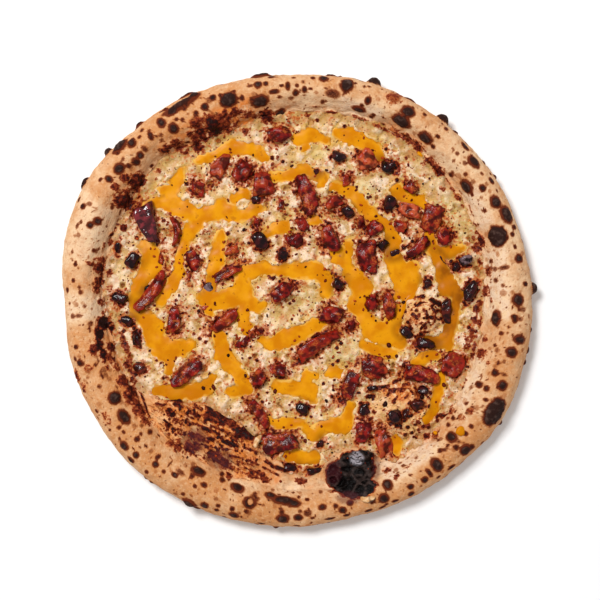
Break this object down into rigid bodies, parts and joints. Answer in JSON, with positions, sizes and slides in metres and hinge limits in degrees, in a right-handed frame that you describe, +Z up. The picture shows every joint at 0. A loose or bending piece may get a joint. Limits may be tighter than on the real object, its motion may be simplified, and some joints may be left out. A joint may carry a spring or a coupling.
{
  "type": "truffle carbonara pizza",
  "caption": "Round baked pizza with a tall blistered rim, pale cheese cream, swirls of egg yolk sauce, cured pork pieces and dark truffle bits; whole and uncut, rests flat.",
  "frame": {"origin": "middle of the pizza's outline, on the flat underside that it rests on", "axes": "+Z up out of the toppings, +Y towards the far side in the picture's top view, +X to its right"},
  "size_m": [0.3014, 0.2889, 0.024],
  "materials": {
    "crust": "dry matt baked dough, floury, with dark leopard spots and charred blisters",
    "cheese": "melted creamy off-white cheese, bubbly, slightly oily",
    "yolk_sauce": "glossy set egg yolk sauce",
    "bacon": "crisp, oily, deep red-brown cured pork",
    "truffle": "moist blackish purple truffle and scorched bits"
  },
  "bodies": {
    "root": {"crust": "crust", "cheese": "cheese", "yolk_01": "yolk_sauce", "yolk_02": "yolk_sauce", "yolk_03": "yolk_sauce", "yolk_04": "yolk_sauce", "yolk_05": "yolk_sauce", "yolk_06": "yolk_sauce", "yolk_07": "yolk_sauce", "yolk_08": "yolk_sauce", "bacon_01": "bacon", "bacon_02": "bacon", "bacon_03": "bacon", "bacon_04": "bacon", "bacon_05": "bacon", "bacon_06": "bacon", "bacon_07": "bacon", "bacon_08": "bacon", "bacon_09": "bacon", "bacon_10": "bacon", "bacon_11": "bacon", "bacon_12": "bacon", "bacon_13": "bacon", "bacon_14": "bacon", "bacon_15": "bacon", "bacon_16": "bacon", "bacon_17": "bacon", "bacon_18": "bacon", "bacon_19": "bacon", "bacon_20": "bacon", "bacon_21": "bacon", "bacon_22": "bacon", "bacon_23": "bacon", "bacon_24": "bacon", "bacon_25": "bacon", "bacon_26": "bacon", "bacon_27": "bacon", "bacon_28": "bacon", "bacon_29": "bacon", "bacon_30": "bacon", "bacon_31": "bacon", "bacon_32": "bacon", "bacon_33": "bacon", "bacon_34": "bacon", "bacon_35": "bacon", "bacon_36": "bacon", "bacon_37": "bacon", "bacon_38": "bacon", "truffle_01": "truffle", "truffle_02": "truffle", "truffle_03": "truffle", "truffle_04": "truffle", "truffle_05": "truffle", "truffle_06": "truffle", "truffle_07": "truffle", "truffle_08": "truffle", "truffle_09": "truffle", "truffle_10": "truffle", "truffle_11": "truffle", "truffle_12": "truffle"}
  },
  "joints": []
}
